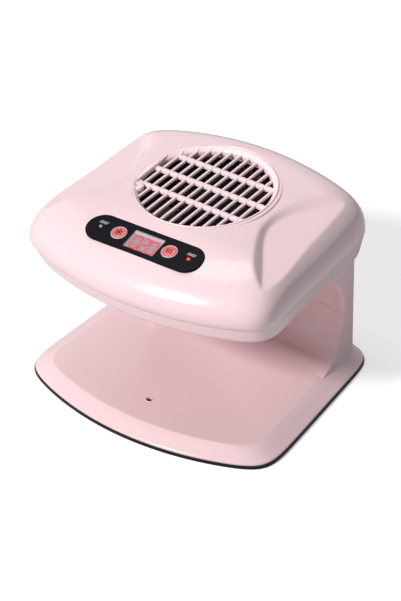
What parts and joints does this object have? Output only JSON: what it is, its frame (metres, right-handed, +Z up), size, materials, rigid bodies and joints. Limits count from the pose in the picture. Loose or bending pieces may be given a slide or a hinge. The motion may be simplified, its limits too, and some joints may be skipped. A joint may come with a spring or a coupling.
{
  "type": "nail dryer",
  "caption": "Table-top nail dryer: a tray base, a curved rear column and an overhanging head that blows warm or cool air down through a fan and heater.",
  "frame": {"origin": "on the surface that the feet stand on, under the middle of the dryer's bounding box", "axes": "+Z up, -Y towards the user at the open front, +X to the user's right"},
  "size_m": [0.2452, 0.221, 0.183],
  "materials": {
    "shell_pink": "glossy moulded",
    "plate_black": "satin moulded",
    "foot_rubber": "matte",
    "screw_steel": "zinc plated",
    "sensor_dark": "polished",
    "board_green": "solder mask",
    "grille_pink": "glossy moulded",
    "grille_dark": "heat resistant, satin",
    "fan_black": "satin moulded",
    "winding_copper": "lacquered wire",
    "bearing_bronze": "sintered",
    "heater_mica": "laminated sheet",
    "heater_wire": "resistance wire",
    "cutoff_metal": "drawn",
    "panel_navy": "glossy",
    "window_smoke": "clear smoked plastic",
    "display_dark": "matte with lit segments",
    "ring_pale": "glossy",
    "button_coral": "glossy",
    "switch_dark": "moulded",
    "lamp_clear": "clear, unlit",
    "lamp_red": "clear, lit red",
    "transformer_steel": "laminated core with taped winding",
    "inlet_black": "moulded",
    "pin_metal": "plated",
    "wire_insulation": "wire insulation"
  },
  "bodies": {
    "root": {"base_shell": "shell_pink", "bottom_plate": "plate_black", "foot_pads": "foot_rubber", "base_screws": "screw_steel", "sensor_lens": "sensor_dark", "sensor_board": "board_green", "head_lower_cover": "shell_pink", "head_upper_cover": "shell_pink", "head_screws": "screw_steel", "column_screws": "screw_steel", "intake_grille": "grille_pink", "grille_screw": "screw_steel", "outlet_grille": "grille_dark", "fan_frame": "fan_black", "fan_stator": "winding_copper", "fan_bearings": "bearing_bronze", "fan_screws": "screw_steel", "heater_frame": "heater_mica", "heater_coils": "heater_wire", "heater_screws": "screw_steel", "thermal_cutoff": "cutoff_metal", "panel_fascia": "panel_navy", "display_window": "window_smoke", "display_module": "display_dark", "control_board": "board_green", "board_screws": "screw_steel", "button_rings": "ring_pale", "switch_bodies": "switch_dark", "cool_lamp": "lamp_clear", "hot_lamp": "lamp_red", "power_board": "board_green", "transformer": "transformer_steel", "mains_inlet": "inlet_black", "inlet_pins": "pin_metal", "wiring_loom": "wire_insulation"},
    "fan": {"fan_rotor": "fan_black"},
    "cool_key": {"cool_button": "button_coral", "cool_plunger": "switch_dark"},
    "hot_key": {"hot_button": "button_coral", "hot_plunger": "switch_dark"}
  },
  "joints": [
    {"name": "fan_spin", "type": "hinge", "parent": "root", "child": "fan", "pos_m": [0, 0.0123, 0.17858], "axis": [0, -0.0635, 0.998], "continuous": true},
    {"name": "cool_press", "type": "slide", "parent": "root", "child": "cool_key", "axis": [0, 0.2233, -0.9748], "range_m": [0, 0.0005], "stiffness_N_per_m": 400, "springref_m": -0.001},
    {"name": "hot_press", "type": "slide", "parent": "root", "child": "hot_key", "axis": [0, 0.2233, -0.9748], "range_m": [0, 0.0005], "stiffness_N_per_m": 400, "springref_m": -0.001}
  ]
}
